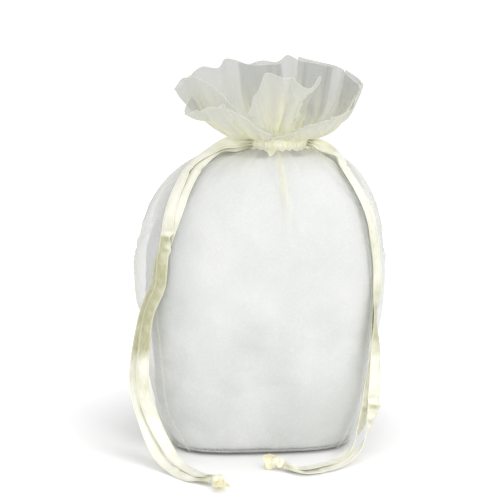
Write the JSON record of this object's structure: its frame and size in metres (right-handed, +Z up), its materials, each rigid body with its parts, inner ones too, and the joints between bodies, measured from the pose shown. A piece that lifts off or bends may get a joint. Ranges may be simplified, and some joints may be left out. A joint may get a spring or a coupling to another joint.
{
  "type": "drawstring gift pouch",
  "caption": "Sheer ivory organza gift pouch with a flat gusseted base, tissue padding, a gathered ruffled neck and satin drawstring ribbons knotted at each side.",
  "frame": {"origin": "centre of the flat base, on the ground", "axes": "+Z up through the neck, -Y towards the front panel, +X to the front's right"},
  "size_m": [0.1307, 0.1367, 0.1915],
  "materials": {
    "organza_panel": "sheer crisp organza with a soft sheen",
    "seam_edge": "folded organza seam allowance",
    "tissue": "soft white tissue",
    "organza_casing": "gathered organza, several layers deep",
    "organza_frill": "sheer crisp organza with a soft sheen",
    "thread": "matt sewing thread",
    "satin_ribbon": "ivory satin with a woven edge"
  },
  "bodies": {
    "pouch": {"front_panel": "organza_panel", "back_panel": "organza_panel", "left_gusset": "organza_panel", "right_gusset": "organza_panel", "base_panel": "organza_panel", "base_seam": "seam_edge", "seam_front_left": "seam_edge", "seam_front_right": "seam_edge", "seam_back_left": "seam_edge", "seam_back_right": "seam_edge", "tissue_padding": "tissue"},
    "gather_front": {"casing_front": "organza_casing", "drawstrings_front": "satin_ribbon", "stitching_front": "thread", "frill_front": "organza_frill"},
    "gather_right": {"casing_right": "organza_casing", "drawstrings_right": "satin_ribbon", "stitching_right": "thread", "frill_right": "organza_frill", "right_ribbon_shoulder": "satin_ribbon"},
    "gather_back_right": {"casing_back_right": "organza_casing", "drawstrings_back_right": "satin_ribbon", "stitching_back_right": "thread", "frill_back_right": "organza_frill"},
    "gather_back": {"casing_back": "organza_casing", "drawstrings_back": "satin_ribbon", "stitching_back": "thread", "frill_back": "organza_frill"},
    "gather_back_left": {"casing_back_left": "organza_casing", "drawstrings_back_left": "satin_ribbon", "stitching_back_left": "thread", "frill_back_left": "organza_frill"},
    "gather_left": {"casing_left": "organza_casing", "drawstrings_left": "satin_ribbon", "stitching_left": "thread", "frill_left": "organza_frill", "left_ribbon_shoulder": "satin_ribbon"},
    "gather_front_left": {"casing_front_left": "organza_casing", "drawstrings_front_left": "satin_ribbon", "stitching_front_left": "thread", "frill_front_left": "organza_frill"},
    "gather_front_right": {"casing_front_right": "organza_casing", "drawstrings_front_right": "satin_ribbon", "stitching_front_right": "thread", "frill_front_right": "organza_frill"},
    "left_ribbon_slack": {"left_ribbon_upper": "satin_ribbon"},
    "left_ribbon_tail": {"left_ribbon_side": "satin_ribbon"},
    "left_ribbon_tip": {"left_ribbon_floor": "satin_ribbon", "left_knot": "satin_ribbon", "left_knot_ends": "satin_ribbon"},
    "right_ribbon_slack": {"right_ribbon_upper": "satin_ribbon"},
    "right_ribbon_tail": {"right_ribbon_side": "satin_ribbon"},
    "right_ribbon_tip": {"right_ribbon_floor": "satin_ribbon", "right_knot": "satin_ribbon", "right_knot_ends": "satin_ribbon"}
  },
  "joints": [
    {"name": "open_front", "type": "slide", "parent": "pouch", "child": "gather_front", "axis": [0, -0.848, 0.53], "range_m": [0, 0.01887]},
    {"name": "open_right", "type": "slide", "parent": "pouch", "child": "gather_right", "axis": [0.848, 0, 0.53], "range_m": [0, 0.01887], "deforming": ["right_ribbon_shoulder"]},
    {"name": "open_back_right", "type": "slide", "parent": "pouch", "child": "gather_back_right", "axis": [0.5996, 0.5996, 0.53], "range_m": [0, 0.01887]},
    {"name": "open_back", "type": "slide", "parent": "pouch", "child": "gather_back", "axis": [0, 0.848, 0.53], "range_m": [0, 0.01887]},
    {"name": "open_back_left", "type": "slide", "parent": "pouch", "child": "gather_back_left", "axis": [-0.5996, 0.5996, 0.53], "range_m": [0, 0.01887]},
    {"name": "open_left", "type": "slide", "parent": "pouch", "child": "gather_left", "axis": [-0.848, 0, 0.53], "range_m": [0, 0.01887], "deforming": ["left_ribbon_shoulder"]},
    {"name": "open_front_left", "type": "slide", "parent": "pouch", "child": "gather_front_left", "axis": [-0.5996, -0.5996, 0.53], "range_m": [0, 0.01887]},
    {"name": "open_front_right", "type": "slide", "parent": "pouch", "child": "gather_front_right", "axis": [0.5996, -0.5996, 0.53], "range_m": [0, 0.01887]},
    {"name": "left_ribbon_feed", "type": "slide", "parent": "gather_left", "child": "left_ribbon_slack", "axis": [0.5547, 0, 0.8321], "range_m": [0, 0.02886]},
    {"name": "left_ribbon_swing", "type": "hinge", "parent": "left_ribbon_slack", "child": "left_ribbon_tail", "pos_m": [-0.05375, -0.03023, 0.1], "axis": [-0.6809, 0.7324, 0], "range_deg": [0, 80]},
    {"name": "left_ribbon_drape", "type": "hinge", "parent": "left_ribbon_tail", "child": "left_ribbon_tip", "pos_m": [-0.05515, -0.0451, 0.0077], "axis": [0.9441, 0.3297, 0], "range_deg": [0, 55]},
    {"name": "right_ribbon_feed", "type": "slide", "parent": "gather_right", "child": "right_ribbon_slack", "axis": [-0.5547, 0, 0.8321], "range_m": [0, 0.02886]},
    {"name": "right_ribbon_swing", "type": "hinge", "parent": "right_ribbon_slack", "child": "right_ribbon_tail", "pos_m": [0.05863, -0.02591, 0.098], "axis": [-0.5469, -0.8372, 0], "range_deg": [0, 80]},
    {"name": "right_ribbon_drape", "type": "hinge", "parent": "right_ribbon_tail", "child": "right_ribbon_tip", "pos_m": [0.0495, -0.04685, 0.0077], "axis": [0.3526, -0.9358, 0], "range_deg": [0, 55]}
  ],
  "couplings": [
    {"joint": "open_right", "follows": "open_front", "ratio": 1},
    {"joint": "open_back_right", "follows": "open_front", "ratio": 1},
    {"joint": "open_back", "follows": "open_front", "ratio": 1},
    {"joint": "open_back_left", "follows": "open_front", "ratio": 1},
    {"joint": "open_left", "follows": "open_front", "ratio": 1},
    {"joint": "open_front_left", "follows": "open_front", "ratio": 1},
    {"joint": "open_front_right", "follows": "open_front", "ratio": 1},
    {"joint": "left_ribbon_feed", "follows": "open_front", "ratio": 1.5288},
    {"joint": "left_ribbon_drape", "follows": "left_ribbon_swing", "ratio": 0.6875},
    {"joint": "right_ribbon_feed", "follows": "open_front", "ratio": 1.5288},
    {"joint": "right_ribbon_drape", "follows": "right_ribbon_swing", "ratio": 0.6875}
  ]
}
